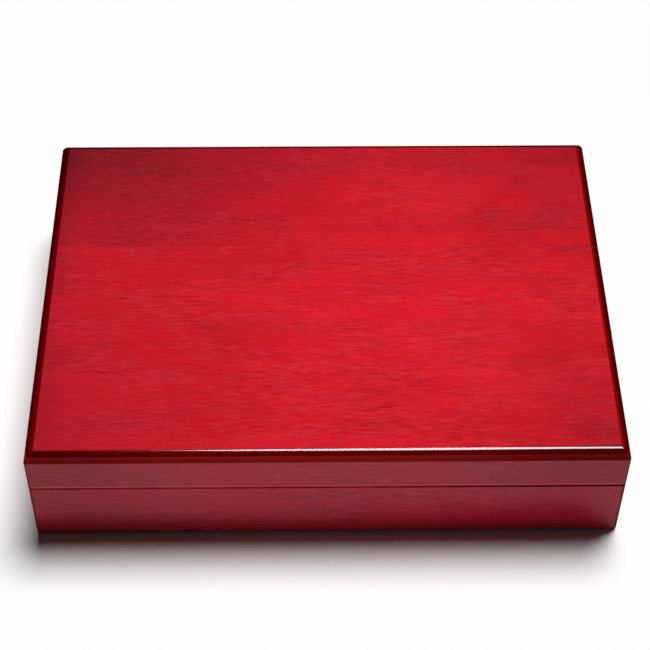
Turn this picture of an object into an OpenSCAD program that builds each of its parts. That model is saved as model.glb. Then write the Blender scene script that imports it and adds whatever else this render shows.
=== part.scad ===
// A flat lacquered humidor: a mitred box with a hinged lid, lined with cedar.
// The base lining stands above the rim as a lip that seals inside the closed lid.
// The front faces -Y, the hinges run along the back, and the origin is under the middle of the felt.

/* [Case] */
// Outside width, side to side
case_w = 254; // [220:1:320]
// Outside depth, front to back
case_d = 191; // [160:0.5:240]
// Height of the base walls
base_h = 32.2; // [30:0.1:60]
// Height of the lid from its rim to its top face
lid_h = 21.5; // [21.5:0.1:40]
// Thickness of the walls
wall_t = 9.5; // [9:0.1:12]
// Radius of the rounded edge around the top of the lid
top_edge_r = 4.2; // [1:0.1:5]
// Radius of the four upright corners
corner_r = 1; // [0.5:0.1:4]
// Width of the eased edge along both rims and along the foot
arris = 0.4; // [0.2:0.1:1]
// Gap between the closed rims
seam_gap = 0.3; // [0.2:0.05:0.5]

/* [Panels] */
// Thickness of the top panel of the lid
top_t = 6.5; // [6:0.1:7]
// Thickness of the floor panel
floor_t = 5; // [3:0.5:8]
// Depth of the rebate in the walls that holds the floor panel
rebate = 4; // [2:0.5:5]
// Thickness of the felt under the floor
felt_t = 1; // [0.6:0.1:3]
// Distance from the wall faces to the edge of the felt
felt_inset = 2.5; // [1:0.5:8]

/* [Cedar lining] */
// Thickness of the boards along the walls
lining_t = 4.5; // [3.5:0.1:6]
// Thickness of the boards on the floor and under the lid
board_t = 3; // [2.5:0.1:4]
// Height of the lip above the rim of the base
lip_h = 6; // [4:0.1:7]
// Gap between the lip and the walls of the lid
lip_fit = 0.4; // [0.3:0.05:0.6]
// Width of the bevel that leads the lid over the lip
lip_bevel = 1.2; // [0.6:0.1:1.6]
// Gap between the top of the lip and the lining of the lid
lip_gap = 0.8; // [0.4:0.1:1.5]

/* [Hinges] */
// Length of each leaf along the back rim
hinge_back_l = 26; // [22:1:40]
// Length of each leaf along the side rim
hinge_side_l = 30; // [27:1:45]
// Width of the leaves
leaf_w = 6; // [5.6:0.1:6.6]
// Thickness of the leaves
leaf_t = 2; // [1.7:0.1:2.3]
// Distance of the hinge axis behind the back face
axis_out = 1; // [0.6:0.1:1.4]
// Radius of the barrel
barrel_r = 2.3; // [2.2:0.05:2.5]
// Radius of the hinge pin
pin_r = 0.9; // [0.7:0.05:1.1]
// Middle radius of the curved stay arm
arm_r = 13.5; // [12.5:0.1:13.8]
// Width of the stay arm
arm_w = 2.6; // [2:0.1:2.8]
// Thickness of the stay arm
arm_t = 1.6; // [1.2:0.1:2]
// Height of the stop lugs at both ends of the arm
lug_h = 0.7; // [0.6:0.05:0.9]
// Angle of the open lid
open_deg = 95; // [90:1:98]
// Radius of the screw shanks
screw_r = 1; // [0.8:0.05:1.1]
// Length of the screws
screw_l = 9; // [7:0.5:11]

/* [Hygrometer] */
// Distance of the hygrometer's centre from the lining on its left
hygro_edge = 49; // [38:1:52]
// Radius of the case
hygro_r = 19; // [16:0.5:21]
// Depth of the case inside the top panel
hygro_sink = 3.5; // [3:0.1:3.8]
// Reading at which the needle rests, in per cent
hygro_reading = 70; // [0:1:100]

/* [Humidifier] */
// Distance of the humidifier's centre from the lining on its right
humid_edge = 73; // [66:1:78]
// Length of the tray
humid_l = 110; // [90:1:112]
// Width of the tray
humid_w = 34; // [28:1:50]
// Depth of the tray
humid_h = 11; // [10:0.5:13]
// Number of slots in the grille
humid_slots = 15; // [7:2:21]

/* [Divider] */
// Share of the base to the left of the divider
divider_share = 0.37; // [0.34:0.01:0.4]
// Thickness of the divider
divider_t = 4; // [3:0.5:6]
// Height of the divider
divider_h = 22; // [16:0.5:23]

/* [Hidden] */
$fn = 96;

// How far a cutter runs past the face it cuts
over = 1;

// Heights, from the table up
z_foot = felt_t;
z_floor = z_foot + floor_t;
z_bay = z_floor + board_t;
z_rim = z_foot + base_h;
z_lip = z_rim + lip_h;
z_lid = z_rim + seam_gap;
z_top = z_lid + lid_h;
z_panel = z_top - top_t;
z_board = z_panel - board_t;
z_lid_lining = z_lip + lip_gap;

// Softened corners of the top: radius along the ridge, and how it clears wall and top
soft_r = top_edge_r * sqrt(2);
soft_in = 0.3 * corner_r;
soft_rise = 0.15;

// Plan inside the walls, and inside the lining
in_w = case_w - 2 * wall_t;
in_d = case_d - 2 * wall_t;
bay_w = in_w - 2 * lining_t;
bay_d = in_d - 2 * lining_t;
lining_ease = 0.5;

// Hinge: axis place, fits and the parts of the barrel that belong to each leaf
hinge_x = case_w / 2 - (wall_t - leaf_w) / 2;
axis_y = case_d / 2 + axis_out;
axis_z = z_rim + seam_gap / 2;
leaf_top = -seam_gap / 2;
mortise_fit = 0.15;
knuckle_gap = 0.3;
pin_fit = 0.05;
third = hinge_back_l / 3;
base_knuckles = [[-3 * third, -2 * third - knuckle_gap / 2], [-third + knuckle_gap / 2, 0]];
lid_knuckles = [[-2 * third + knuckle_gap / 2, -third - knuckle_gap / 2]];

// Stay arm: half its angle covers half the swing, the leaf it passes and its lug
arm_fit = 0.35;
arm_in = arm_r - arm_w / 2;
arm_ex = arm_r + arm_w / 2;
lug_deg = 3.5;
leaf_deg = asin((leaf_t + seam_gap / 2) / (arm_in - lug_h));
arm_half = open_deg / 2 + leaf_deg + lug_deg + 0.4;

// Screws: countersunk heads flush with the leaf
screw_fit = 0.05;
head_r = screw_r + 0.85;
head_h = head_r - screw_r;
leaf_screws = [
    [-leaf_w / 2, -axis_out - hinge_side_l + leaf_w / 2 + 0.4],
    [-hinge_back_l + 4, -axis_out - leaf_w / 2 - 0.8],
    [-leaf_w - 4.2, -axis_out - leaf_w / 2 - 0.8]
];

// Hygrometer: heights toward the viewer are positive, into the lid negative
hygro_x = hygro_edge - bay_w / 2;
hygro_fit = 0.1;
hygro_wall = 0.8;
hygro_back = -(board_t + hygro_sink);
hygro_bore_r = hygro_r - hygro_wall;
dial_seat = -2.2;
dial_t = 0.4;
lens_r = hygro_r - 0.3;
lens_t = 1;
hub_r = 2;
hub_z = -1.5;
spindle_r = 0.8;
coil_w = min(2, -hygro_back - hygro_wall + dial_seat - 0.8);
coil_r0 = spindle_r + 0.5;
coil_turns = 4;
coil_pitch = 1.9;
coil_t = 0.3;
coil_z = hygro_back + hygro_wall + 0.5;
coil_end = coil_r0 + coil_turns * coil_pitch;
dial_sweep = 270;
needle_deg = hygro_reading / 100 * dial_sweep - dial_sweep / 2;

// Humidifier: tray, recess of the grille, magnets and keepers
humid_x = bay_w / 2 - humid_edge;
humid_r = 5;
humid_wall = 2;
humid_ease = 1;
humid_in_r = humid_r - humid_wall;
keeper_r = 8;
keeper_t = 0.6;
magnet_r = 6;
magnet_t = 2;
magnet_x = humid_l / 2 - 18;
humid_back = keeper_t + magnet_t + 0.8;
grille_t = 1.5;
grille_z = keeper_t + humid_h - grille_t;
grille_seat = 0.8;
grille_fit = 0.1;
slot_w = 3;
slot_l = humid_w - 14;
slot_step = (humid_l - 16) / (humid_slots - 0.5);

// Divider: loose on the cedar floor
divider_x = (divider_share - 0.5) * bay_w;
divider_fit = 0.5;
divider_lift = 0.25;
thumb_r = 16;

lacquer = [0.55, 0.03, 0.05];
cedar = [0.66, 0.42, 0.28];
brass = [0.8, 0.62, 0.28];
felt = [0.05, 0.05, 0.06];

// A rectangle with round corners, centred
module rounded_rect(w, d, r) {
    square([w - 2 * r, d], center = true);
    square([w, d - 2 * r], center = true);
    for (x = [-1, 1])
        for (y = [-1, 1])
            translate([x * (w / 2 - r), y * (d / 2 - r)])
                circle(r);
}

function reversed(list) = [for (i = [len(list) - 1 : -1 : 0]) list[i]];

// A block with round upright corners, its lower and upper edges eased by foot and rim.
// The easing follows the corners, each of which is a quarter turn of the same edge.
function eased_edge(half, z0, z1, foot, rim) = [
    [half - foot, z0],
    [half, z0 + foot],
    [half, z1 - rim],
    [half - rim, z1]
];

module eased_block(w, d, r, z0, z1, foot, rim) {
    flip = [[-1, 0], [0, 1]];
    edge_d = eased_edge(d / 2, z0, z1, foot, rim);
    edge_w = eased_edge(w / 2, z0, z1, foot, rim);
    rotate([90, 0, 90])
        linear_extrude(w - 2 * r, center = true)
            polygon(concat(edge_d, reversed(edge_d * flip)));
    rotate([90, 0, 0])
        linear_extrude(d - 2 * r, center = true)
            polygon(concat(edge_w, reversed(edge_w * flip)));
    for (turn = [0 : 3])
        translate([
            (turn % 3 == 0 ? 1 : -1) * (w / 2 - r),
            (turn < 2 ? 1 : -1) * (d / 2 - r),
            0
        ])
            rotate([0, 0, 90 * turn])
                rotate_extrude(angle = 90)
                    polygon(concat([[0, z0]], eased_edge(r, z0, z1, foot, rim), [[0, z1]]));
}

// One board of a frame of size w by d, mitred at both ends: side 0 front, 1 right, 2 back, 3 left.
// The profile is given as depth from the outer face and height.
module run(side, w, d, deep, profile) {
    length = side % 2 == 0 ? w : d;
    reach = (side % 2 == 0 ? d : w) / 2;
    rotate([0, 0, 90 * side])
        intersection() {
            translate([0, -reach, 0])
                rotate([90, 0, 90])
                    linear_extrude(length + 4 * over, center = true)
                        polygon(profile);
            translate([0, 0, -2 * over])
                linear_extrude(z_top + 4 * over)
                    polygon([
                        [-length / 2 - 2 * over, -reach - 2 * over],
                        [length / 2 + 2 * over, -reach - 2 * over],
                        [length / 2 - deep - over, -reach + deep + over],
                        [-length / 2 + deep + over, -reach + deep + over]
                    ]);
        }
}

// Puts what is drawn for one hinge at the right (1) or left (-1) end of the back, axis along X
module at_hinge(end) {
    if (end > 0)
        translate([hinge_x, axis_y, axis_z])
            children();
    else
        mirror([1, 0, 0])
            translate([hinge_x, axis_y, axis_z])
                children();
}

// Turns a part drawn for the base over into the lid
module in_lid() {
    mirror([0, 0, 1])
        children();
}

// Outline of a leaf: one leg along the back rim, one round-ended leg along the side rim
module leaf_plan(grow) {
    back_y = -axis_out - leaf_w;
    end_y = -axis_out - hinge_side_l + leaf_w / 2;
    translate([-hinge_back_l - grow, back_y - grow])
        square([hinge_back_l + 2 * grow, -back_y + grow]);
    translate([-leaf_w - grow, end_y])
        square([leaf_w + 2 * grow, -end_y]);
    translate([-leaf_w / 2, end_y])
        circle(leaf_w / 2 + grow);
}

// A length of round bar along the hinge axis
module axis_rod(from, to, r) {
    translate([from, 0, 0])
        rotate([0, 90, 0])
            cylinder(r = r, h = to - from);
}

// A flat arc around the hinge axis, in the middle of the side leg, by its angle below the rim
module arc_bar(r_in, r_ex, t, from_deg, to_deg) {
    translate([-leaf_w / 2, 0, 0])
        rotate([0, 90, 0])
            rotate([0, 0, from_deg - 90])
                rotate_extrude(angle = to_deg - from_deg)
                    translate([r_in, -t / 2])
                        square([r_ex - r_in, t]);
}

// Wood taken out of the walls for one leaf, its barrel, its arm and its screws
module hinge_cut() {
    translate([0, 0, leaf_top - leaf_t])
        linear_extrude(leaf_t + over)
            leaf_plan(mortise_fit);
    axis_rod(-hinge_back_l - knuckle_gap, knuckle_gap, barrel_r + knuckle_gap);
    arc_bar(arm_in - lug_h - arm_fit, arm_ex + lug_h + arm_fit, arm_t + 2 * arm_fit, -6, arm_half + 1.5);
    for (p = leaf_screws)
        translate([p[0], p[1], leaf_top - screw_l - 0.5])
            cylinder(r = screw_r + screw_fit, h = screw_l);
}

// A leaf with its own knuckles, cleared around those of the other leaf
module leaf(own, other) {
    difference() {
        union() {
            translate([0, 0, leaf_top - leaf_t])
                linear_extrude(leaf_t)
                    leaf_plan(0);
            for (k = own)
                axis_rod(k[0], k[1], barrel_r);
        }
        for (k = other)
            axis_rod(k[0] - knuckle_gap, k[1] + knuckle_gap, barrel_r + knuckle_gap);
        axis_rod(-hinge_back_l - over, over, pin_r + pin_fit);
        arc_bar(arm_in - arm_fit, arm_ex + arm_fit, arm_t + 2 * arm_fit, -6, leaf_deg + 6);
        for (p = leaf_screws)
            translate([p[0], p[1], leaf_top]) {
                translate([0, 0, -leaf_t - over])
                    cylinder(r = screw_r + screw_fit, h = leaf_t + 2 * over);
                translate([0, 0, -head_h - screw_fit])
                    cylinder(r1 = screw_r + screw_fit, r2 = head_r + screw_fit, h = head_h);
                translate([0, 0, -screw_fit])
                    cylinder(r = head_r + screw_fit, h = over);
            }
    }
}

// A slotted countersunk screw, its head at the origin
module screw() {
    difference() {
        union() {
            translate([0, 0, -head_h])
                cylinder(r1 = screw_r, r2 = head_r, h = head_h);
            translate([0, 0, -screw_l + 1.5])
                cylinder(r = screw_r, h = screw_l - 1.5 - head_h);
            translate([0, 0, -screw_l])
                cylinder(r1 = 0.2, r2 = screw_r, h = 1.5);
        }
        translate([-head_r - over, -0.25, -0.45])
            cube([2 * head_r + 2 * over, 0.5, 1]);
    }
}

module leaf_screw_set() {
    for (p = leaf_screws)
        translate([p[0], p[1], leaf_top - screw_fit])
            screw();
}

module stay_arm() {
    arc_bar(arm_in, arm_ex, arm_t, -arm_half, arm_half);
    arc_bar(arm_in - lug_h, arm_ex + lug_h, arm_t, arm_half - lug_deg, arm_half);
    arc_bar(arm_in - lug_h, arm_ex + lug_h, arm_t, -arm_half, lug_deg - arm_half);
}

// Base walls: eased at the rim and the foot, rebated for the floor
module base_wall(side) {
    intersection() {
        eased_block(case_w, case_d, corner_r, z_foot, z_rim, arris, arris);
        run(side, case_w, case_d, wall_t, [
            [-over, z_foot - over],
            [wall_t - rebate, z_foot - over],
            [wall_t - rebate, z_floor],
            [wall_t, z_floor],
            [wall_t, z_rim + over],
            [-over, z_rim + over]
        ]);
    }
}

module base_front_wall() {
    color(lacquer)
        base_wall(0);
}

module base_back_wall() {
    color(lacquer)
        difference() {
            base_wall(2);
            at_hinge(1)
                hinge_cut();
            at_hinge(-1)
                hinge_cut();
        }
}

module base_left_wall() {
    color(lacquer)
        difference() {
            base_wall(3);
            at_hinge(-1)
                hinge_cut();
        }
}

module base_right_wall() {
    color(lacquer)
        difference() {
            base_wall(1);
            at_hinge(1)
                hinge_cut();
        }
}

module base_floor_panel() {
    color(lacquer)
        translate([-in_w / 2 - rebate, -in_d / 2 - rebate, z_foot])
            cube([in_w + 2 * rebate, in_d + 2 * rebate, floor_t]);
}

module base_felt_pad() {
    color(felt)
        linear_extrude(felt_t)
            rounded_rect(case_w - 2 * felt_inset, case_d - 2 * felt_inset, 3);
}

// Cedar boards along the base walls: above the rim they stand back by the fit of the lip
module base_lining(side) {
    run(side, in_w, in_d, lining_t, [
        [0, z_bay],
        [lining_t, z_bay],
        [lining_t, z_lip - lining_ease],
        [lining_t - lining_ease, z_lip],
        [lip_fit + lip_bevel, z_lip],
        [lip_fit, z_lip - 2 * lip_bevel],
        [lip_fit, z_rim],
        [0, z_rim]
    ]);
}

module base_lining_front() {
    color(cedar)
        base_lining(0);
}

module base_lining_back() {
    color(cedar)
        base_lining(2);
}

module base_lining_left() {
    color(cedar)
        base_lining(3);
}

module base_lining_right() {
    color(cedar)
        base_lining(1);
}

module base_lining_floor() {
    color(cedar)
        translate([-in_w / 2, -in_d / 2, z_floor])
            cube([in_w, in_d, board_t]);
}

module hinge_base_leaf_left() {
    color(brass)
        at_hinge(-1)
            leaf(base_knuckles, lid_knuckles);
}

module hinge_base_leaf_right() {
    color(brass)
        at_hinge(1)
            leaf(base_knuckles, lid_knuckles);
}

module hinge_pin_left() {
    color(brass)
        at_hinge(-1)
            axis_rod(-hinge_back_l, 0, pin_r);
}

module hinge_pin_right() {
    color(brass)
        at_hinge(1)
            axis_rod(-hinge_back_l, 0, pin_r);
}

module hinge_base_screws() {
    color(brass)
        for (end = [-1, 1])
            at_hinge(end)
                leaf_screw_set();
}

// Lid walls: eased at the rim, closed above by the top panel
module lid_wall(side) {
    intersection() {
        eased_block(case_w, case_d, corner_r, z_lid, z_top, arris, arris);
        run(side, case_w, case_d, wall_t, [
            [-over, z_lid - over],
            [wall_t, z_lid - over],
            [wall_t, z_panel],
            [-over, z_panel]
        ]);
    }
}

module lid_front_wall() {
    color(lacquer)
        lid_wall(0);
}

module lid_back_wall() {
    color(lacquer)
        difference() {
            lid_wall(2);
            at_hinge(1)
                in_lid()
                    hinge_cut();
            at_hinge(-1)
                in_lid()
                    hinge_cut();
        }
}

module lid_left_wall() {
    color(lacquer)
        difference() {
            lid_wall(3);
            at_hinge(-1)
                in_lid()
                    hinge_cut();
        }
}

module lid_right_wall() {
    color(lacquer)
        difference() {
            lid_wall(1);
            at_hinge(1)
                in_lid()
                    hinge_cut();
        }
}

// Section of the top panel across one direction, with its upper corners rounded
module top_section(span) {
    translate([-span / 2, 0])
        square([span, top_t - top_edge_r]);
    translate([-span / 2 + top_edge_r, 0])
        square([span - 2 * top_edge_r, top_t]);
    for (s = [-1, 1])
        translate([s * (span / 2 - top_edge_r), top_t - top_edge_r])
            circle(top_edge_r);
}

// What sanding takes off the top's corners, where two rounded edges meet in a ridge
module soft_corner() {
    rotate([0, 0, 225])
        rotate([90, 0, 0])
            linear_extrude(4 * soft_r, center = true)
                difference() {
                    translate([-over, 0])
                        square([soft_r + soft_in + over, soft_r + over]);
                    translate([soft_r + soft_in, 0])
                        circle(soft_r);
                }
}

module lid_top_panel() {
    color(lacquer)
        difference() {
            translate([0, 0, z_panel])
                intersection() {
                    rotate([90, 0, 90])
                        linear_extrude(case_w + 2 * over, center = true)
                            top_section(case_d);
                    rotate([90, 0, 0])
                        linear_extrude(case_d + 2 * over, center = true)
                            top_section(case_w);
                    linear_extrude(top_t + over)
                        rounded_rect(case_w, case_d, corner_r);
                }
            for (flip_x = [0, 1])
                for (flip_y = [0, 1])
                    mirror([flip_x, 0, 0])
                        mirror([0, flip_y, 0])
                            translate([case_w / 2, case_d / 2, z_top + soft_rise - soft_r])
                                soft_corner();
            translate([hygro_x, 0, z_panel - over])
                cylinder(r = hygro_r + hygro_fit, h = hygro_sink + over + hygro_fit);
        }
}

// Cedar boards along the lid walls, above the lip
module lid_lining(side) {
    run(side, in_w, in_d, lining_t, [
        [0, z_lid_lining],
        [lining_t - lining_ease, z_lid_lining],
        [lining_t, z_lid_lining + lining_ease],
        [lining_t, z_board],
        [0, z_board]
    ]);
}

module lid_lining_front() {
    color(cedar)
        lid_lining(0);
}

module lid_lining_back() {
    color(cedar)
        lid_lining(2);
}

module lid_lining_left() {
    color(cedar)
        lid_lining(3);
}

module lid_lining_right() {
    color(cedar)
        lid_lining(1);
}

module lid_lining_top() {
    color(cedar)
        difference() {
            translate([-in_w / 2, -in_d / 2, z_board])
                cube([in_w, in_d, board_t]);
            translate([hygro_x, 0, z_board - over])
                cylinder(r = hygro_r + hygro_fit, h = board_t + 2 * over);
        }
}

module hinge_lid_leaf_left() {
    color(brass)
        at_hinge(-1)
            in_lid()
                leaf(lid_knuckles, base_knuckles);
}

module hinge_lid_leaf_right() {
    color(brass)
        at_hinge(1)
            in_lid()
                leaf(lid_knuckles, base_knuckles);
}

module hinge_lid_screws() {
    color(brass)
        for (end = [-1, 1])
            at_hinge(end)
                in_lid()
                    leaf_screw_set();
}

module hinge_arm_left() {
    color(brass)
        at_hinge(-1)
            stay_arm();
}

module hinge_arm_right() {
    color(brass)
        at_hinge(1)
            stay_arm();
}

// Puts what faces down from the lid in place: drawn facing up, with the top of the dial toward the front
module under_lid(x) {
    translate([x, 0, z_board])
        rotate([180, 0, 0])
            children();
}

module hygrometer_case() {
    color(brass)
        under_lid(hygro_x) {
            difference() {
                rotate_extrude()
                    polygon([
                        [0, hygro_back],
                        [hygro_r, hygro_back],
                        [hygro_r, 0],
                        [hygro_bore_r, 0],
                        [hygro_bore_r, dial_seat],
                        [hygro_bore_r - 1, dial_seat],
                        [hygro_bore_r - 1, hygro_back + hygro_wall],
                        [0, hygro_back + hygro_wall]
                    ]);
                translate([0, 0, hygro_back + hygro_wall / 2])
                    cylinder(r = spindle_r + pin_fit, h = hygro_wall);
            }
            translate([coil_end - 0.5, 0, hygro_back + hygro_wall])
                cube([1.4, 1.4, coil_w + 0.5]);
        }
}

// Outer or inner edge of the coil at each step of its spiral
function coil_edge(grow) = [
    for (i = [0 : 20 * coil_turns])
        (coil_r0 + coil_pitch * i / 20 + grow) * [cos(18 * i), sin(18 * i)]
];
module hygrometer_coil() {
    color(brass)
        under_lid(hygro_x)
            translate([0, 0, coil_z])
                linear_extrude(coil_w)
                    polygon(concat(coil_edge(0), reversed(coil_edge(coil_t))));
}

module hygrometer_dial() {
    color([0.95, 0.94, 0.9])
        under_lid(hygro_x)
            translate([0, 0, dial_seat])
                difference() {
                    cylinder(r = hygro_bore_r - hygro_fit, h = dial_t);
                    translate([0, 0, -over])
                        cylinder(r = spindle_r + 0.4, h = dial_t + 2 * over);
                }
}

module hygrometer_lens() {
    color([0.85, 0.9, 0.92, 0.4])
        under_lid(hygro_x)
            cylinder(r = lens_r, h = lens_t);
}

module hygrometer_bezel() {
    color(brass)
        under_lid(hygro_x)
            rotate_extrude()
                polygon([
                    [lens_r + hygro_fit, 0],
                    [hygro_r + 3.5, 0],
                    [hygro_r + 3.5, 0.8],
                    [hygro_r + 2.7, 2],
                    [hygro_r + 0.6, 2.8],
                    [hygro_r - 0.8, 2.4],
                    [hygro_r - 1.4, 1.8],
                    [hygro_r - 1.4, lens_t],
                    [lens_r + hygro_fit, lens_t]
                ]);
}

// Needle: a tapered hand with a short tail on a round hub, drawn pointing up the dial
module hygrometer_needle() {
    color([0.1, 0.1, 0.1])
        under_lid(hygro_x)
            rotate([0, 0, -needle_deg])
                translate([0, 0, hub_z]) {
                    cylinder(r = hub_r, h = 0.8);
                    linear_extrude(0.4)
                        polygon([
                            [-0.9, -6],
                            [0.9, -6],
                            [0.5, 0],
                            [0.15, hygro_bore_r - 4],
                            [-0.15, hygro_bore_r - 4],
                            [-0.5, 0]
                        ]);
                }
}

module hygrometer_spindle() {
    color(brass)
        under_lid(hygro_x)
            translate([0, 0, hygro_back + hygro_wall / 2 + pin_fit])
                cylinder(r = spindle_r, h = hub_z - hygro_back - hygro_wall / 2 - pin_fit);
}

module humidifier_keepers() {
    color([0.7, 0.7, 0.72])
        under_lid(humid_x)
            for (s = [-1, 1])
                translate([s * magnet_x, 0, 0])
                    cylinder(r = keeper_r, h = keeper_t);
}

module humidifier_tray() {
    color([0.08, 0.08, 0.08])
        under_lid(humid_x)
            difference() {
                eased_block(humid_l, humid_w, humid_r, keeper_t, keeper_t + humid_h, 0.3, humid_ease);
                translate([0, 0, humid_back])
                    linear_extrude(humid_h)
                        rounded_rect(humid_l - 2 * humid_wall, humid_w - 2 * humid_wall, humid_in_r);
                translate([0, 0, grille_z])
                    linear_extrude(humid_h)
                        rounded_rect(
                            humid_l - 2 * humid_wall + 2 * grille_seat,
                            humid_w - 2 * humid_wall + 2 * grille_seat,
                            humid_in_r + grille_seat
                        );
                for (s = [-1, 1])
                    translate([s * magnet_x, 0, 0])
                        cylinder(r = magnet_r + grille_fit, h = keeper_t + magnet_t);
            }
}

module humidifier_magnets() {
    color([0.75, 0.75, 0.78])
        under_lid(humid_x)
            for (s = [-1, 1])
                translate([s * magnet_x, 0, keeper_t])
                    cylinder(r = magnet_r, h = magnet_t);
}

module humidifier_foam() {
    color([0.35, 0.55, 0.35])
        under_lid(humid_x)
            translate([0, 0, humid_back])
                linear_extrude(grille_z - humid_back)
                    rounded_rect(
                        humid_l - 2 * humid_wall - 2 * grille_fit,
                        humid_w - 2 * humid_wall - 2 * grille_fit,
                        humid_in_r - grille_fit
                    );
}

module humidifier_grille() {
    color([0.1, 0.1, 0.1])
        under_lid(humid_x)
            translate([0, 0, grille_z])
                difference() {
                    linear_extrude(grille_t)
                        rounded_rect(
                            humid_l - 2 * humid_wall + 2 * grille_seat - 2 * grille_fit,
                            humid_w - 2 * humid_wall + 2 * grille_seat - 2 * grille_fit,
                            humid_in_r + grille_seat - grille_fit
                        );
                    for (i = [0 : humid_slots - 1])
                        translate([(i - (humid_slots - 1) / 2) * slot_step, 0, -over])
                            linear_extrude(grille_t + 2 * over) {
                                square([slot_w, slot_l - slot_w], center = true);
                                for (s = [-1, 1])
                                    translate([0, s * (slot_l - slot_w) / 2])
                                        circle(slot_w / 2);
                            }
                }
}

// Divider: a loose cedar board with a thumb scoop in its upper edge
module divider() {
    color(cedar)
        translate([divider_x - divider_t / 2, 0, z_bay + divider_lift])
            difference() {
                translate([0, -bay_d / 2 + divider_fit, 0])
                    cube([divider_t, bay_d - 2 * divider_fit, divider_h]);
                translate([-over, 0, divider_h + thumb_r / 2])
                    rotate([0, 90, 0])
                        cylinder(r = thumb_r, h = divider_t + 2 * over);
            }
}

base_front_wall();
base_back_wall();
base_left_wall();
base_right_wall();
base_floor_panel();
base_felt_pad();
base_lining_front();
base_lining_back();
base_lining_left();
base_lining_right();
base_lining_floor();
hinge_base_leaf_left();
hinge_base_leaf_right();
hinge_pin_left();
hinge_pin_right();
hinge_base_screws();
lid_front_wall();
lid_back_wall();
lid_left_wall();
lid_right_wall();
lid_top_panel();
lid_lining_front();
lid_lining_back();
lid_lining_left();
lid_lining_right();
lid_lining_top();
hinge_lid_leaf_left();
hinge_lid_leaf_right();
hinge_lid_screws();
hinge_arm_left();
hinge_arm_right();
hygrometer_case();
hygrometer_coil();
hygrometer_dial();
hygrometer_lens();
hygrometer_bezel();
hygrometer_needle();
hygrometer_spindle();
humidifier_keepers();
humidifier_tray();
humidifier_magnets();
humidifier_foam();
humidifier_grille();
divider();
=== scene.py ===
import math

import bmesh
import bpy
from mathutils import Matrix, Vector, noise


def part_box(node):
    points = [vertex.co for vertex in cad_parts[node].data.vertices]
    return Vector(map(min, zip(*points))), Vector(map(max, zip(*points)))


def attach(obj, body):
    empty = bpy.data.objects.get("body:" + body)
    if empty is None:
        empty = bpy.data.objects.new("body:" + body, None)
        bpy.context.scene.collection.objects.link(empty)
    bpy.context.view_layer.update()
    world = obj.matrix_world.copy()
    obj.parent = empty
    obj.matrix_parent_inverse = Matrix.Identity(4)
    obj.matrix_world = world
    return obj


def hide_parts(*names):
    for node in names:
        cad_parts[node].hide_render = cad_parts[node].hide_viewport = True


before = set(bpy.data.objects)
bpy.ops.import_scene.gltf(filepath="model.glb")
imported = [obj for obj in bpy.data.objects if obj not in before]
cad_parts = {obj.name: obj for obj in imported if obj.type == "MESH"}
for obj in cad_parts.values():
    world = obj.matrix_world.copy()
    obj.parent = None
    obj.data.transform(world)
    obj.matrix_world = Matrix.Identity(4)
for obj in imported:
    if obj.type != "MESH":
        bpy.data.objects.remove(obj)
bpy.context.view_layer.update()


# Base walls: four boards that make the lower half of the case, mitred at the corners.
# Each is fibreboard under a leaf of red-stained veneer, sealed with thick clear lacquer
# and rubbed to a gloss, with the upright corners and the long edges eased.

class Shade:
    """One value of a material, the output of a node. Sums with it add Math nodes."""

    def __init__(self, tree, socket=None):
        self.tree = tree
        self.socket = socket

    def node(self, kind, settings=None, inputs=None, out=0):
        """Adds a node of any kind: its settings first, then what its sockets hold."""
        made = self.tree.nodes.new("ShaderNode" + kind)
        for name, value in (settings or {}).items():
            setattr(made, name, value)
        for name, value in (inputs or {}).items():
            if isinstance(value, Shade):
                self.tree.links.new(value.socket, made.inputs[name])
            else:
                made.inputs[name].default_value = value
        return Shade(self.tree, made.outputs[out] if made.outputs else None)

    def math(self, operation, *values):
        return self.node("Math", {"operation": operation}, dict(enumerate(values)))

    def __add__(self, other):
        return self.math("ADD", self, other)

    def __radd__(self, other):
        return self.math("ADD", other, self)

    def __sub__(self, other):
        return self.math("SUBTRACT", self, other)

    def __rsub__(self, other):
        return self.math("SUBTRACT", other, self)

    def __mul__(self, other):
        return self.math("MULTIPLY", self, other)

    def __rmul__(self, other):
        return self.math("MULTIPLY", other, self)

    def __truediv__(self, other):
        return self.math("DIVIDE", self, other)

    def __rtruediv__(self, other):
        return self.math("DIVIDE", other, self)

    def __abs__(self):
        return self.math("ABSOLUTE", self)

    def root(self):
        return self.math("SQRT", self)

    def wave(self):
        """A sine from 0 to 1."""
        return self.math("SINE", self) * 0.5 + 0.5

    def least(self, other):
        return self.math("MINIMUM", self, other)

    def most(self, other):
        return self.math("MAXIMUM", self, other)

    def rise(self, low, high):
        """0 below low, 1 above high, and a smooth slope between them."""
        return self.node("MapRange", {"interpolation_type": "SMOOTHSTEP"},
                         {"Value": self, "From Min": low, "From Max": high})

    def mix(self, colour, other):
        """The first colour where this value is 0, the other where it is 1."""
        return self.node("Mix", {"data_type": "RGBA"}, {0: self, 6: colour, 7: other}, 2)


def start(name):
    """A new material, and the place on the piece in metres that its pattern follows."""
    material = bpy.data.materials.new(name)
    material.use_nodes = True
    material.node_tree.nodes.clear()
    return material, Shade(material.node_tree).node("TexCoord", out="Object")


def parts(place):
    """The three coordinates of a place."""
    split = place.node("SeparateXYZ", {}, {0: place}).socket.node
    return [Shade(place.tree, part) for part in split.outputs]


def marks(place, per_metre, detail=2.0, shift=(0.0, 0.0, 0.0), roughness=0.5):
    """Noise from 0 to 1, with so many marks in a metre along X, Y and Z."""
    spot = place.node("VectorMath", {"operation": "MULTIPLY_ADD"},
                      {0: place, 1: per_metre, 2: shift})
    return spot.node("TexNoise", {}, {"Vector": spot, "Scale": 1.0, "Detail": detail,
                                      "Roughness": roughness})


def drawn(along, long, cross):
    """Marks in a metre for a pattern drawn out along the wood's grain."""
    return tuple(long if axis == along else cross for axis in "xyz")


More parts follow.
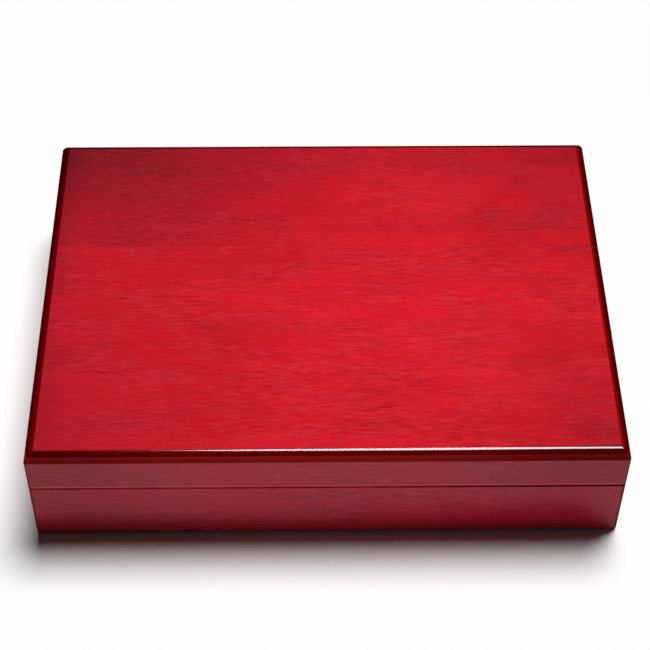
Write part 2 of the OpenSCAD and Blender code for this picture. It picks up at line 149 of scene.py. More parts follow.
def surface(place, colour, roughness, relief=None, depth=0.0, **plain):
    """A shader: its colour, its roughness, its relief so many metres deep."""
    inputs = {"Base Color": colour, "Roughness": roughness}
    inputs.update({name.replace("_", " "): value for name, value in plain.items()})
    if relief is not None:
        inputs["Normal"] = place.node("Bump", {}, {"Strength": 1.0, "Distance": depth,
                                                   "Height": relief})
    return place.node("BsdfPrincipled", {}, inputs)


def skin(place, *values, **plain):
    """Closes a material that has one shader."""
    place.node("OutputMaterial", {}, {"Surface": surface(place, *values, **plain)})


def dress(node, material):
    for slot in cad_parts[node].material_slots:
        slot.material = material


def from_edges(place, low, high):
    """How far a place on the faces of a box is from the nearest edge of the box."""
    a, b, c = ((high[axis] - low[axis]) / 2 - abs(part - (low[axis] + high[axis]) / 2)
               for axis, part in enumerate(parts(place)))
    return a.least(b).most(a.most(b).least(c))


# Tones of the walls: deep, bright and the pale painted sheen of the figure, then the pores,
# the pale colour of worn edges, also a painted highlight on the lid, and the painted shade
# laid over the stain.
WALL_STAIN = (0.27, 0.0, 0.0095, 1.0), (0.58, 0.0112, 0.0332, 1.0), (0.55, 0.175, 0.23, 1.0)
RED_PORE = (0.17, 0.004, 0.009, 1.0)
WALL_WEAR_AND_HIGHLIGHT = (0.8, 0.085, 0.115, 1.0)
WALL_SHADE = (0.12, 0.004, 0.01, 1.0)
WALL_SHEEN = 0.12
WALL_DULL = 0.59
MEAN_LIGHT = 0.89

# Marks in a metre of veneer, along and across its grain.
CLOUDS = (9, 24)
FLAMES = (24, 65)
STREAKS = (40, 220)
FIGURE = (150, 1800)
PORES = (150, 1900)

# Reach of the rubbed edges, the eased uprights, the painted shade at the ends and foot of the
# walls and the painted shadow along the base's rim, each in metres, and how deep the lacquer's
# orange peel is.
RUBBED = (0.0005, 0.001)
UPRIGHT = 0.002
WALL_END = 0.09
FOOT = (0.001, 0.016)
RIM = (-0.0008, -0.0004)
PEEL_DEPTH = 0.000018


def veneer_leaf(place, along, shift):
    """How light one leaf of the veneer is, its pores, its clouds and its figure for a painted
    sheen.
    """
    def grain(scale, detail, low, high):
        return marks(place, drawn(along, *scale), detail, shift).rise(low, high)

    clouds = grain(CLOUDS, 3.0, 0.3, 0.7)
    flames = grain(FLAMES, 3.0, 0.3, 0.7)
    streaks = grain(STREAKS, 3.0, 0.28, 0.72)
    figure = grain(FIGURE, 2.0, 0.3, 0.7)
    grainy = 1.5 - flames
    pores = grain(PORES, 2.0, 0.56, 0.66) * grainy
    broad = clouds + flames + streaks - 1.5
    light = broad * 0.16 + (figure - 0.5) * grainy * 0.2 + MEAN_LIGHT
    return light, pores, clouds, figure * grainy


def stained(light, pores, sheen, stain):
    """Wood between the stain's two tones, with darker pores and paler figure lines as a painted
    sheen.
    """
    deep, bright, pale = stain
    wood = (pores * 0.25).mix(light.mix(deep, bright), RED_PORE)
    return sheen.mix(wood, pale)


def lacquer(place, colour, pores, clouds, dulled):
    """Thick gloss lacquer with a faint orange peel, rubbed dull where it is thin."""
    peel = marks(place, (160, 160, 160), 2.0)
    relief = peel - pores * 0.015
    gloss = surface(place, colour, clouds * 0.03 + pores * 0.04 + 0.05, relief, PEEL_DEPTH,
                    IOR=1.5)
    satin = surface(place, colour, clouds * 0.1 + 0.4, relief, PEEL_DEPTH,
                    Specular_IOR_Level=0.0)
    place.node("OutputMaterial", {}, {"Surface": place.node(
        "MixShader", {}, {0: dulled, 1: gloss, 2: satin})})


CASE_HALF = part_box("base_front_wall")[1].x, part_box("base_back_wall")[1].y


def on_case(place):
    """A place as shares of the case's half width and half depth, 1 at its right and back."""
    x, y, _ = parts(place)
    return x / CASE_HALF[0], y / CASE_HALF[1]


def near_corners(place, reach):
    """1 on the upright corners of the case, falling to 0 so many metres from them."""
    x, y, _ = parts(place)
    return ((1 - (CASE_HALF[0] - abs(x)).rise(0.0, reach))
            * (1 - (CASE_HALF[1] - abs(y)).rise(0.0, reach)))


def end_tone(place):
    """How much painted shade lies on the ends of the walls and on their uprights."""
    return near_corners(place, WALL_END) * 0.36 + near_corners(place, UPRIGHT) * 0.5


def veneered_wall(node, along, shift):
    material, place = start(f"{node}_veneer")
    light, pores, clouds, sheen = veneer_leaf(place, along, shift)
    low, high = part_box(node)
    z = parts(place)[2]
    sideways, _ = on_case(place)
    # Painted shade: darker towards the foot, at the ends and on the upright corners.
    foot = 1 - z.rise(*FOOT)
    # A painted shadow along the base's rim, in the joint under the lid, on its right half.
    rim = (z - high.z).rise(*RIM) * sideways.rise(0.0, 0.63)
    painted_shade = foot * 0.22 + end_tone(place) + rim * 0.7
    bold = (light - MEAN_LIGHT) * 1.6 + MEAN_LIGHT
    colour = painted_shade.mix(stained(bold, pores, sheen * WALL_SHEEN, WALL_STAIN), WALL_SHADE)

    rubbed = 1 - from_edges(place, low, high).rise(*RUBBED)
    worn = rubbed * (1 - near_corners(place, UPRIGHT)) * (1 - rim)
    worn = worn * marks(place, (60, 60, 60), 3.0, shift).rise(0.35, 0.6)
    colour = (worn * 0.25).mix(colour, WALL_WEAR_AND_HIGHLIGHT)
    wiped = sideways.rise(0.08, 0.71) * (1 - sideways.rise(0.82, 0.96))
    wiped = wiped * (1 - z.rise(0.012, 0.024))
    glossy = (1 - sideways.rise(-0.47, 0.47)) * (1 - z.rise(0.014, 0.03))
    dulled = rubbed.most(wiped * 0.36 - glossy * 0.3 + WALL_DULL)
    lacquer(place, colour, pores, clouds, dulled)
    return material


# The four sides of the case, and the axis that the grain follows on each.
SIDES = [("front", "x"), ("right", "y"), ("back", "x"), ("left", "y")]

for number, (side, along) in enumerate(SIDES):
    wall = f"base_{side}_wall"
    dress(wall, veneered_wall(wall, along, (3.1 * number, 1.7, 5.3 + number)))


# Floor panel: a sheet of brown fibreboard let into the rebate of the base walls.
# It is raw inside and out, covered by the cedar floor above and the felt below.

def raw_board():
    material, place = start("raw_fibreboard")
    fibres = marks(place, (900, 900, 900), 4.0)
    flecks = marks(place, (2600, 2600, 2600), 2.0).rise(0.6, 0.75)
    colour = fibres.rise(0.3, 0.7).mix((0.2, 0.11, 0.06, 1), (0.36, 0.22, 0.13, 1))
    colour = (flecks * 0.5).mix(colour, (0.09, 0.05, 0.03, 1))
    skin(place, colour, 0.75 + fibres * 0.2, fibres, 0.0002)
    return material


dress("base_floor_panel", raw_board())


# Felt pad: a sheet of black wool felt glued under the base, a little short of its edges.
# It is cut from the roll with shears, so its edge wanders slightly and its face is fuzzy.

FELT_CELL = 0.0022
FELT_NAP = 0.00006
SHEAR_WANDER, SHEAR_ROUNDING = 0.00025, 0.00025


def felt_sheet():
    low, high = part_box("base_felt_pad")
    count = [int((high[axis] - low[axis]) / FELT_CELL) for axis in (0, 1)]
    mesh = bmesh.new()

    def corner(i, j, under):
        along, across = i / count[0], j / count[1]
        x = low[0] + (high[0] - low[0]) * along
        y = low[1] + (high[1] - low[1]) * across
        spot = Vector((x, y, 0.0))
        cut = min(i, j, count[0] - i, count[1] - j) == 0
        if cut:
            wander = SHEAR_WANDER * (1 + noise.noise(spot * 90))
            x -= math.copysign(wander, along - 0.5) * (i in (0, count[0]))
            y -= math.copysign(wander, across - 0.5) * (j in (0, count[1]))
        nap = FELT_NAP * (1 + noise.noise(spot * 700))
        rounding = SHEAR_ROUNDING if cut else 0.0
        z = low[2] + nap + rounding if under else high[2] - rounding * 0.3
        return mesh.verts.new((x, y, z))

    lower, upper = ([[corner(i, j, under) for j in range(count[1] + 1)]
                     for i in range(count[0] + 1)] for under in (True, False))
    for i in range(count[0]):
        for j in range(count[1]):
            mesh.faces.new((lower[i][j], lower[i][j + 1],
                            lower[i + 1][j + 1], lower[i + 1][j]))
            mesh.faces.new((upper[i][j], upper[i + 1][j],
                            upper[i + 1][j + 1], upper[i][j + 1]))
    rim = ([(i, 0) for i in range(count[0])] + [(count[0], j) for j in range(count[1])]
           + [(i, count[1]) for i in range(count[0], 0, -1)]
           + [(0, j) for j in range(count[1], 0, -1)])
    for (i, j), (k, m) in zip(rim, rim[1:] + rim[:1]):
        mesh.faces.new((lower[i][j], lower[k][m], upper[k][m], upper[i][j]))
    return mesh, (high[0] - low[0], high[1] - low[1])


def place_piece(name, mesh, material, body, smooth=True):
    data = bpy.data.meshes.new(name)
    mesh.to_mesh(data)
    mesh.free()
    for face in data.polygons:
        face.use_smooth = smooth
    data.materials.append(material)
    piece = bpy.data.objects.new(name, data)
    bpy.context.scene.collection.objects.link(piece)
    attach(piece, body)
    return piece


def wool_felt():
    material, place = start("black_wool_felt")
    fibres = marks(place, (1500, 1500, 1500), 5.0, roughness=0.7)
    lint = marks(place, (420, 2600, 2600), 2.0).rise(0.66, 0.75)
    worn = marks(place, (18, 18, 18), 3.0).rise(0.4, 0.7)
    colour = fibres.rise(0.25, 0.75).mix((0.008, 0.008, 0.009, 1), (0.045, 0.045, 0.05, 1))
    colour = (lint * 0.35 + worn * 0.12).mix(colour, (0.11, 0.11, 0.115, 1))
    skin(place, colour, 0.9 + fibres * 0.1, fibres, 0.0005, Sheen_Weight=0.35,
         Sheen_Roughness=0.5, Specular_IOR_Level=0.1)
    return material


felt_mesh, felt_cut = felt_sheet()
felt = place_piece("felt_pad", felt_mesh, wool_felt(), "base")
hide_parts("base_felt_pad")


# Base lining: thin Spanish cedar boards, planed and left bare, pressed in without glue.
# They stand above the rim as a lip, bevelled so that the lid finds its place over them.

CEDAR_PALE = (0.58, 0.295, 0.17, 1.0)
CEDAR_WARM = (0.43, 0.18, 0.09, 1.0)
CEDAR_PORE = (0.2, 0.075, 0.035, 1.0)
CEDAR_RING = (0.35, 0.14, 0.07, 1.0)
CEDAR_HANDLED = (0.3, 0.13, 0.06, 1.0)
CEDAR_RINGS = 900.0
HEART_DEPTH, HEART_SLOPE, HEART_SWAY = 0.02, 0.08, 0.012


def bare_cedar(node, along, shift):
    """Flat-sawn cedar: rings round a heart that slopes away under the board's face."""
    material, place = start(f"{node}_cedar")
    low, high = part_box(node)
    thin = min(range(3), key=lambda axis: high[axis] - low[axis])
    run = "xyz".index(along)
    side = 3 - thin - run
    spot = parts(place)
    sway = marks(place, drawn(along, 7, 22), 2.0, shift) - 0.5
    wander = sway * HEART_SWAY
    aside = spot[side] - (low[side] + high[side]) / 2 + shift[0] * 0.004 + wander
    below = spot[thin] - low[thin] + spot[run] * HEART_SLOPE + HEART_DEPTH + wander
    radius = (aside * aside + below * below).root()
    rings = (radius * CEDAR_RINGS + sway * 4).wave().rise(0.3, 1.0)

    tint = marks(place, drawn(along, 5, 16), 2.0, shift).rise(0.3, 0.7)
    streaks = marks(place, drawn(along, 20, 700), 3.0, shift).rise(0.3, 0.7)
    pores = marks(place, drawn(along, 80, 1900), 2.0, shift).rise(0.58, 0.72)
    pores = pores * (rings * 0.6 + 0.4)
    saw = marks(place, drawn(along, 900, 60), 1.0, shift)
    edges = 1 - from_edges(place, low, high).rise(0.0004, 0.0016)
    edges = edges * marks(place, (150, 150, 150), 3.0, shift)
    colour = (tint * 0.5 + streaks * 0.5).mix(CEDAR_WARM, CEDAR_PALE)
    colour = (rings * 0.33).mix(colour, CEDAR_RING)
    colour = (pores * 0.6).mix(colour, CEDAR_PORE)
    colour = (edges * 0.55).mix(colour, CEDAR_HANDLED)
    skin(place, colour, 0.62 + rings * 0.15, rings * 0.2 - pores + saw * 0.12, 0.00016,
         Specular_IOR_Level=0.3)
    return material


for number, (side, along) in enumerate(SIDES + [("floor", "x")]):
    board = f"base_lining_{side}"
    dress(board, bare_cedar(board, along, (2.3 * number, 7.1, 0.9 * number)))


# Hinges: pressed brass leaves let into the rims at the back corners, polished and lacquered.
# Each turns on a pin through its knuckles and has a curved stay arm that floats between lid
# and base. Countersunk brass screws hold the leaves.

BRASS = (0.86, 0.6, 0.24, 1.0)
BRASS_DULL = (0.52, 0.31, 0.1, 1.0)


def polished_brass(name, per_metre, shift):
    material, place = start(name)
    tarnish = marks(place, (70, 70, 70), 4.0, shift).rise(0.42, 0.75)
    lines = marks(place, per_metre, 2.0, shift)
    spots = marks(place, (900, 900, 900), 2.0, shift).rise(0.68, 0.78)
    colour = (tarnish * 0.4 + spots * 0.5).mix(BRASS, BRASS_DULL)
    skin(place, colour, 0.16 + tarnish * 0.16 + lines * 0.12, lines, 0.00002, Metallic=1.0)
    return material


leaf_brass = polished_brass("hinge_leaf_brass", (250, 5200, 5200), (0.0, 0.0, 0.0))
arm_brass = polished_brass("hinge_arm_brass", (5200, 420, 420), (4.0, 0.0, 0.0))
for side in ("left", "right"):
    for node in (f"hinge_base_leaf_{side}", f"hinge_lid_leaf_{side}", f"hinge_pin_{side}"):
        dress(node, leaf_brass)
    dress(f"hinge_arm_{side}", arm_brass)
screw_brass = polished_brass("hinge_screw_brass", (1800, 1800, 1800), (0.0, 8.0, 0.0))
for node in ("hinge_base_screws", "hinge_lid_screws"):
    dress(node, screw_brass)


# Lid walls and top: the upper half of the case, veneered and lacquered like the base.
# The top is laid in two leaves that meet behind the middle. Its rounded edge is toned
# almost black-red above, deep red below, before the lacquer. Over the toner lie painted light
# on the right side, painted shade on the left and back left, and a painted reflection below.

# Radius of the rounded edge, the toned band along its back, and how far behind the middle
# the two leaves meet.
TOP_EDGE = 0.0042
BACK_BAND = 0.0039
LEAF_JOINT = 0.026

# Tones of the top: deep, bright and the pale painted sheen as on the walls, and its painted
# shade. Then those of its edge: painted light on the inside of the right side, the toner's red,
# which on the lower band also stands for a painted reflection, its dark and black, and the
# painted shade of the back left.
RED_STAIN = (0.3, 0.0, 0.004, 1.0), (0.73, 0.01, 0.0199, 1.0), (0.7, 0.11, 0.15, 1.0)
RED_SHADE = (0.0, 0.006, 0.013, 1.0)
TOP_SHEEN = 0.11
EDGE_LIT = (0.38, 0.001, 0.0025, 1.0)
EDGE_RED = (0.305, 0.0115, 0.0145, 1.0)
EDGE_DARK = (0.122, 0.0003, 0.0008, 1.0)
EDGE_BLACK = (0.078, 0.0002, 0.0006, 1.0)
EDGE_SHADOWED = (0.015, 0.0, 0.0001, 1.0)

# Shares of the half width between which the front edge's toner thickens to the right.
RIGHTWARD = (0.16, 0.985)

# Heartwood patches in the top's leaves: middle, half length, half width, how much darker.
PATCHES = [(0.08, 0.036, 0.045, 0.018, 0.06), (0.095, -0.045, 0.022, 0.028, 0.08),
           (-0.03, 0.014, 0.04, 0.014, 0.1), (-0.025, -0.026, 0.04, 0.014, 0.08),
           (-0.048, -0.062, 0.03, 0.035, 0.06), (0.04, 0.06, 0.05, 0.025, -0.1)]


def top_leaves(place, behind, beside):
    """The lid's veneer: the top's front and back leaf, and the leaves of its two sides."""
    leaves = zip(veneer_leaf(place, "x", (1.2, 3.6, 0.4)),
                 veneer_leaf(place, "x", (7.7, 0.3, 2.9)),
                 veneer_leaf(place, "y", (4.9, 6.1, 1.3)))
    return ((front * (1 - behind) + back * behind) * (1 - beside) + side * beside
            for front, back, side in leaves)


def top_shade(place, behind):
    """Painted shade on the top towards its sides and back, with its mottle and patches summed
    in.
    """
    sideways, backward = on_case(place)
    left, far_left = (0 - sideways).rise(0.0, 1.06), (0 - sideways).rise(-0.315, 0.785)
    left_end, right = (0 - sideways).rise(0.865, 0.985), sideways.rise(0.395, 1.0)
    back, far_back = backward.rise(0.0, 1.05), backward.rise(0.21, 0.995)
    front = (0 - backward).rise(0.0, 0.995)
    shade = (0.02 + back * 0.25 + front * 0.02 + left_end * 0.12
             + far_left * (far_back * 0.08 + behind * 0.14)
             + left * (0.22 + front * 0.12 - behind * 0.07)
             + right * (0.1 + front * front * 0.25 + back * 0.06))
    mottle = marks(place, (45, 120, 45), 3.0).rise(0.3, 0.7) - 0.5
    shade = shade + mottle * (sideways.rise(-0.395, 0.47) * 0.11 + 0.04)
    x, y, _ = parts(place)
    for middle_x, middle_y, half_x, half_y, darker in PATCHES:
        off_x, off_y = (x - middle_x) / half_x, (y - middle_y) / half_y
        shade = shade + darker * (1 - (off_x * off_x + off_y * off_y).rise(0.0, 1.0))
    return shade


def toned_edge(place, low, high):
    """Where the top turns down into its rounded edge, and its colour: toner, painted light and
    shade.
    """
    x, y, z = parts(place)
    sideways, backward = on_case(place)
    ahead, aside = low.y + TOP_EDGE - y, abs(x) - high.x + TOP_EDGE
    edge = ahead + sideways.rise(0.63, 0.985) * 0.0008
    edge = edge.most(y - high.y + BACK_BAND).most(aside).rise(-0.0001, 0.0004)

    rightward, leftward = sideways.rise(*RIGHTWARD), (0 - sideways).rise(0.47, 0.905)
    front_tone = rightward.most(leftward).mix(EDGE_DARK, EDGE_BLACK)
    # Painted light on the inner band of the right side, and painted shade darkening the left.
    side_tone = aside.rise(-0.0004, 0.0022).most(ahead.rise(0.0, 0.0005))
    side_tone = side_tone.most((0 - sideways).rise(0.0, 0.08) * 0.85)
    side_tone = side_tone.mix(EDGE_LIT, EDGE_BLACK)
    dark = aside.rise(-0.0001, 0.0004).mix(front_tone, side_tone)
    # Painted shade at the back left corner of the edge.
    back_left_shade = (0 - sideways).rise(0.0, 1.06) * backward.rise(0.0, 1.05)
    dark = (back_left_shade * 0.6).mix(dark, EDGE_SHADOWED)
    # The lower band's red is toner and a painted reflection of the table.
    red = (rightward * 0.6).most(leftward * 0.4).mix(EDGE_RED, EDGE_DARK)
    upper = (z - high.z).rise(-0.0014, -0.0011).most((y - low.y).rise(0.004, 0.0044))
    return edge, upper.mix(red, dark)


def veneered_lid():
    material, place = start("lid_veneer")
    low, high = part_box("lid_top_panel")
    low.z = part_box("lid_front_wall")[0].z
    x, y, z = parts(place)
    behind = (y - LEAF_JOINT).rise(-0.0001, 0.0001)
    beside = (abs(x) - high.x).rise(-0.0012, -0.0006)
    light, pores, clouds, sheen = top_leaves(place, behind, beside)
    top = stained(light, pores, sheen * TOP_SHEEN, RED_STAIN)
    # Painted shade over the top's stain.
    top = top_shade(place, behind).mix(top, RED_SHADE)

    wall = stained(light, pores * 1.5, sheen * WALL_SHEEN, WALL_STAIN)
    # Painted shade on the lid's walls, at their ends and uprights and a little all over.
    wall = (end_tone(place) + 0.08).mix(wall, WALL_SHADE)
    reach = from_edges(place, low, high)
    # A pale band along the lid walls' edges: a painted highlight on the lower arris, with some
    # wear.
    worn = (1 - reach.rise(0.0012, 0.0015)) * (1 - near_corners(place, UPRIGHT))
    worn = worn * marks(place, (60, 60, 60), 3.0).rise(0.2, 0.5)
    wall = (worn * 0.6).mix(wall, WALL_WEAR_AND_HIGHLIGHT)

    edge, edge_colour = toned_edge(place, low, high)
    rounded = (z - high.z + TOP_EDGE).rise(-0.0001, 0.0002)
    colour = rounded.mix(wall, edge.mix(top, edge_colour))
    rightward = on_case(place)[0].rise(*RIGHTWARD)
    turned_down = (high.z - z + rightward * 0.00006).rise(0.00011, 0.00018)
    rubbed = 1 - reach.rise(*RUBBED)
    dulled = rubbed.most(turned_down * rounded).most((1 - rounded) * WALL_DULL)
    lacquer(place, colour, pores, clouds, dulled)
    return material


lid_veneer = veneered_lid()
dress("lid_top_panel", lid_veneer)
for side, _ in SIDES:
    dress(f"lid_{side}_wall", lid_veneer)


# Lid lining: the same bare cedar, planed thin and left without a finish. Four low boards
# stand against the lid's walls and hold up the top board, which carries the gauge and the
# humidifier.

for number, (side, along) in enumerate(SIDES + [("top", "x")]):
    board = f"lid_lining_{side}"
    dress(board, bare_cedar(board, along, (1.9 * number, 3.3, 6.0 - number)))


# Hygrometer: a brass can pressed into the lid's top board, with a moisture coil behind a
# printed card dial, a black needle on the spindle, a glass and a turned brass bezel.

dial_low, dial_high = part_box("hygrometer_dial")
dial_middle = (dial_low + dial_high) / 2


def turned_brass(name):
    """Brass with the fine rings that turning leaves, round the dial's middle."""
    material, place = start(name)
    arm = place.node("VectorMath", {"operation": "SUBTRACT"},
                     {0: place, 1: (dial_middle.x, dial_middle.y, 0.0)})
    arm = arm.node("VectorMath", {"operation": "MULTIPLY"}, {0: arm, 1: (1.0, 1.0, 0.0)})
    radius = arm.node("VectorMath", {"operation": "LENGTH"}, {0: arm}, "Value")
    rings = radius.node("TexNoise", {"noise_dimensions": "1D"},
                        {"W": radius * 9000, "Scale": 1.0, "Detail": 2.0})
    tarnish = marks(place, (90, 90, 90), 4.0).rise(0.45, 0.78)
    colour = (tarnish * 0.35).mix((0.88, 0.64, 0.27, 1), BRASS_DULL)
    skin(place, colour, 0.12 + rings * 0.14 + tarnish * 0.12, rings, 0.00001, Metallic=1.0)
    return material


gauge_brass = turned_brass("turned_gauge_brass")
for node in ("hygrometer_case", "hygrometer_bezel", "hygrometer_spindle"):
    dress(node, gauge_brass)
dress("hygrometer_coil", polished_brass("coil_bronze", (2200, 2200, 300), (0.0, 0.0, 5.0)))


def dial_card():
    material, place = start("dial_card")
    fibres = marks(place, (2400, 2400, 2400), 3.0)
    age = marks(place, (60, 60, 60), 3.0).rise(0.35, 0.75)
    colour = (age * 0.5 + fibres * 0.3).mix((0.86, 0.84, 0.78, 1), (0.74, 0.69, 0.57, 1))
    skin(place, colour, 0.6 + fibres * 0.2, fibres, 0.00003)
    return material


dress("hygrometer_dial", dial_card())

# The printed scale: its sweep, the ink, its line, the ticks as length and half width, the band
# of the good range, the ring of numerals and the sign below the middle.
DIAL_SWEEP = math.radians(270)
INK_THICK = 0.00003
SCALE_OUT, SCALE_LINE = 0.0159, 0.00015
LONG_TICK, SHORT_TICK = (0.0018, 0.00016), (0.0009, 0.00007)
GOOD_RANGE, GOOD_IN, GOOD_OUT = (0.65, 0.75), 0.0163, 0.0171
NUMERAL_RING, NUMERAL_SIZE = 0.0121, 0.0027
SIGN_DROP, SIGN_SIZE = 0.0085, 0.0042


def dial_print():
    """Ticks, numerals and the good range, printed on the card as the reader sees it."""
    mesh = bmesh.new()
    level = dial_low.z - INK_THICK

    def turn(share):
        return (share - 0.5) * DIAL_SWEEP

    def put(points):
        """One flat inked shape; points run round it as seen by the reader."""
        ring = [mesh.verts.new((dial_middle.x + x, dial_middle.y - y, level))
                for x, y in points]
        mesh.faces.new(ring)

    def arc(inner, outer, first, last, steps):
        for step in range(steps):
            a, b = (turn(first + (last - first) * (step + k) / steps) for k in (0, 1))
            put([(radius * math.sin(angle), radius * math.cos(angle)) for radius, angle in
                 ((inner, a), (inner, b), (outer, b), (outer, a))])

    scale_in = SCALE_OUT - SCALE_LINE
    arc(scale_in, SCALE_OUT, 0.0, 1.0, 120)
    for percent in range(0, 101, 2):
        angle = turn(percent / 100)
        long, half = SHORT_TICK if percent % 10 else LONG_TICK
        across = Vector((math.cos(angle), -math.sin(angle))) * half
        out = Vector((math.sin(angle), math.cos(angle)))
        near, far = out * scale_in, out * (scale_in - long)
        put([tuple(far - across), tuple(far + across),
             tuple(near + across), tuple(near - across)])
    arc(GOOD_IN, GOOD_OUT, *GOOD_RANGE, 24)

    def numeral(text, size, x, y):
        curve = bpy.data.curves.new("dial_numeral", "FONT")
        curve.body, curve.size = text, size
        curve.align_x, curve.align_y = "CENTER", "CENTER"
        holder = bpy.data.objects.new("dial_numeral", curve)
        bpy.context.scene.collection.objects.link(holder)
        bpy.context.view_layer.update()
        flat = bpy.data.meshes.new_from_object(
            holder.evaluated_get(bpy.context.evaluated_depsgraph_get()))
        bpy.data.objects.remove(holder)
        bpy.data.curves.remove(curve)
        flat.transform(Matrix(((1, 0, 0, dial_middle.x + x), (0, -1, 0, dial_middle.y - y),
                               (0, 0, -1, level), (0, 0, 0, 1))))
        mesh.from_mesh(flat)
        bpy.data.meshes.remove(flat)

    for percent in range(0, 101, 10):
        angle = turn(percent / 100)
        numeral(str(percent), NUMERAL_SIZE, NUMERAL_RING * math.sin(angle),
                NUMERAL_RING * math.cos(angle))
    numeral("%", SIGN_SIZE, 0.0, -SIGN_DROP)
    bmesh.ops.remove_doubles(mesh, verts=mesh.verts, dist=1e-7)
    bmesh.ops.solidify(mesh, geom=mesh.faces[:], thickness=INK_THICK)
    return mesh


def printing_ink():
    material, place = start("dial_ink")
    thin = marks(place, (3000, 3000, 3000), 2.0).rise(0.55, 0.75)
    colour = (thin * 0.4).mix((0.012, 0.012, 0.014, 1), (0.09, 0.085, 0.08, 1))
    skin(place, colour, 0.45 + thin * 0.3, thin, 0.00001)
    return material


place_piece("dial_print", dial_print(), printing_ink(), "lid", smooth=False)


def black_needle():
    material, place = start("black_needle")
    dust = marks(place, (1900, 1900, 1900), 2.0).rise(0.62, 0.74)
    colour = (dust * 0.3).mix((0.01, 0.01, 0.011, 1), (0.16, 0.16, 0.16, 1))
    skin(place, colour, 0.32 + dust * 0.3, dust, 0.00001)
    return material


dress("hygrometer_needle", black_needle())


def clear_glass():
    material, place = start("gauge_glass")
    smear = marks(place, (110, 60, 110), 3.0).rise(0.5, 0.8)
    skin(place, (0.96, 0.98, 0.98, 1), 0.01 + smear * 0.05, smear, 0.000002,
         Transmission_Weight=1.0, IOR=1.46)
    return material


dress("hygrometer_lens", clear_glass())


# Humidifier: a black moulded tray with a slotted grille, held to the lid by magnets on two
# plated steel keepers, so that it pulls off to be filled. A block of green foam is inside.

def moulded_black(node):
    material, place = start(f"{node}_plastic")
    spark = marks(place, (3800, 3800, 3800), 2.0)
    scuffs = marks(place, (60, 900, 900), 3.0).rise(0.6, 0.78)
    rubbed = 1 - from_edges(place, *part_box(node)).rise(0.0004, 0.0009)
    rubbed = rubbed * marks(place, (220, 220, 220), 3.0)
    colour = (scuffs * 0.3 + rubbed * 0.6).mix((0.012, 0.012, 0.013, 1), (0.05, 0.05, 0.052, 1))
    skin(place, colour, 0.5 + spark * 0.15 - rubbed * 0.15, spark, 0.00006)
    return material


for node in ("humidifier_tray", "humidifier_grille"):
    dress(node, moulded_black(node))


def plated(name, colour, dull, per_metre):
    material, place = start(name)
    lines = marks(place, per_metre, 2.0)
    bloom = marks(place, (300, 300, 300), 3.0).rise(0.5, 0.78)
    skin(place, (bloom * 0.6).mix(colour, dull), 0.2 + lines * 0.2 + bloom * 0.15, lines,
         0.00002, Metallic=1.0)
    return material


dress("humidifier_keepers", plated("zinc_plate", (0.62, 0.62, 0.64, 1), (0.36, 0.37, 0.39, 1),
                                   (400, 5000, 5000)))
dress("humidifier_magnets", plated("nickel_plate", (0.74, 0.72, 0.7, 1), (0.5, 0.47, 0.43, 1),
                                   (3000, 3000, 3000)))


FOAM_CELL = 0.0011
FOAM_SLACK, FOAM_PIT = 0.00005, 0.0011


def foam_block():
    """A cut block whose faces are pitted by open cells, within the tray's hollow."""
    low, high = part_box("humidifier_foam")
    count = [max(4, int((high[axis] - low[axis]) / FOAM_CELL)) for axis in range(3)]
    mesh = bmesh.new()
    made = {}

    def corner(*key):
        if key not in made:
            spot = Vector(low[axis] + (high[axis] - low[axis]) * key[axis] / count[axis]
                          for axis in range(3))
            inward = Vector((key[axis] == 0) - (key[axis] == count[axis]) for axis in range(3))
            pit = max(0.0, noise.noise(spot * 620)) + 0.5 * max(0.0, noise.noise(spot * 1400))
            made[key] = mesh.verts.new(spot + inward * (FOAM_SLACK + FOAM_PIT * pit))
        return made[key]

    for axis in range(3):
        u, v = (axis + 1) % 3, (axis + 2) % 3
        for end in (0, count[axis]):
            for i in range(count[u]):
                for j in range(count[v]):
                    ring = []
                    for step_u, step_v in ((0, 0), (1, 0), (1, 1), (0, 1)):
                        key = [0, 0, 0]
                        key[axis], key[u], key[v] = end, i + step_u, j + step_v
                        ring.append(corner(*key))
                    mesh.faces.new(ring if end else ring[::-1])
    return mesh


def wet_foam():
    material, place = start("green_foam")
    cells = marks(place, (1500, 1500, 1500), 3.0)
    damp = marks(place, (40, 40, 40), 2.0).rise(0.35, 0.7)
    colour = cells.rise(0.3, 0.7).mix((0.045, 0.11, 0.05, 1), (0.19, 0.33, 0.17, 1))
    colour = (damp * 0.4).mix(colour, (0.06, 0.13, 0.065, 1))
    skin(place, colour, 0.85 - damp * 0.25, cells, 0.0006, Specular_IOR_Level=0.25)
    return material


foam = place_piece("humidifier_foam_block", foam_block(), wet_foam(), "humidifier",
                   smooth=False)
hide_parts("humidifier_foam")


# Divider: a loose cedar board that parts the base into two bays. It slides between the front
# and back linings, and a scoop sawn in its top edge takes a thumb.

dress("divider", bare_cedar("divider", "y", (5.5, 2.2, 8.8)))


# Floor: a plain white table top that the case stands on. It is a flat matt disc, wide
# enough to fill the picture from any side.

TABLE_RADIUS = 8.0


def white_table():
    material, place = start("white_table")
    tooth = marks(place, (900, 900, 900), 2.0)
    colour = tooth.mix((0.93, 0.93, 0.93, 1), (0.95, 0.95, 0.95, 1))
    skin(place, colour, 0.9, Specular_IOR_Level=0.0)
    return material


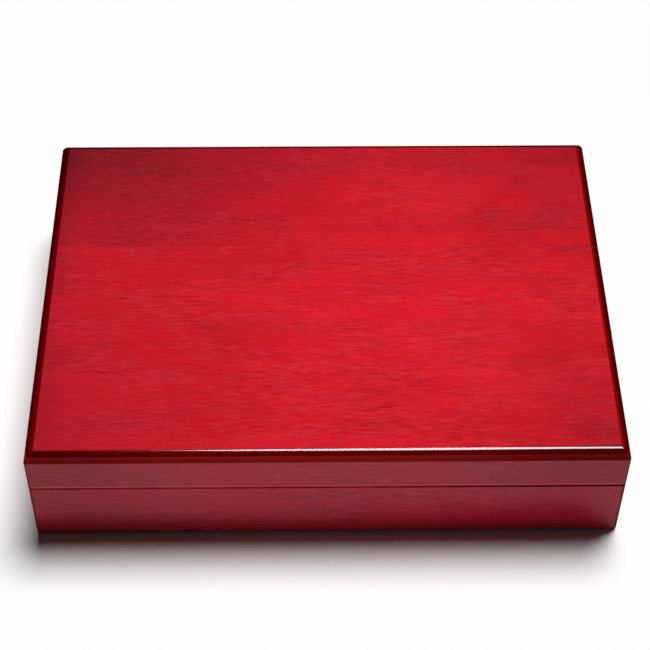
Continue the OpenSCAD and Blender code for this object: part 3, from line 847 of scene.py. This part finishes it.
table_mesh = bmesh.new()
bmesh.ops.create_circle(table_mesh, cap_ends=True, segments=96, radius=TABLE_RADIUS)
table_data = bpy.data.meshes.new("table_top")
table_mesh.to_mesh(table_data)
table_mesh.free()
table_data.materials.append(white_table())
table_top = bpy.data.objects.new("table_top", table_data)
bpy.context.scene.collection.objects.link(table_top)


# Light: one wide soft lamp overhead, a little behind and to the right, in a dim room.
# It is far enough away to light the whole table evenly.

LAMP_STRENGTH, LAMP_WIDTH = 3.45, math.radians(27)
LAMP_RIGHT, LAMP_BACK = math.radians(10), math.radians(18)
ROOM_GLOW = (0.02, 0.02, 0.02, 1.0)

lamp = bpy.data.lights.new("overhead", "SUN")
lamp.energy, lamp.angle = LAMP_STRENGTH, LAMP_WIDTH
lamp_holder = bpy.data.objects.new("overhead", lamp)
toward_lamp = Vector((math.tan(LAMP_RIGHT), math.tan(LAMP_BACK), 1.0))
lamp_holder.rotation_euler = toward_lamp.to_track_quat("Z", "Y").to_euler()
bpy.context.scene.collection.objects.link(lamp_holder)

room = bpy.data.worlds.new("dim_room")
room.use_nodes = True
room.node_tree.nodes["Background"].inputs["Color"].default_value = ROOM_GLOW
bpy.context.scene.world = room


# Camera: in front of the case at arm's length, looking down on the lid, as the photograph
# was taken. The lens is long, so the sides draw in only a little towards the back.

CAMERA_SPOT = (-0.00947, -0.53185, 0.63542)
YAW, PITCH, ROLL = math.radians(1.0195), math.radians(48.7427), math.radians(0.4412)
SENSOR, FOCAL_PIXELS, PICTURE_PIXELS = 36.0, 1742.5, 650
forward = Vector((math.sin(YAW) * math.cos(PITCH), math.cos(YAW) * math.cos(PITCH),
                  -math.sin(PITCH)))
level = Vector((math.cos(YAW), -math.sin(YAW), 0.0))
upward = level.cross(forward)
picture_x = level * math.cos(ROLL) + upward * math.sin(ROLL)
picture_y = upward * math.cos(ROLL) - level * math.sin(ROLL)
lens = bpy.data.cameras.new("camera")
lens.sensor_width, lens.lens = SENSOR, SENSOR * FOCAL_PIXELS / PICTURE_PIXELS
camera = bpy.data.objects.new("camera", lens)
camera.matrix_world = Matrix.Translation(CAMERA_SPOT) @ Matrix(
    (picture_x, picture_y, -forward)).transposed().to_4x4()
bpy.context.scene.collection.objects.link(camera)
bpy.context.scene.camera = camera
bpy.context.scene.view_settings.view_transform = "Standard"
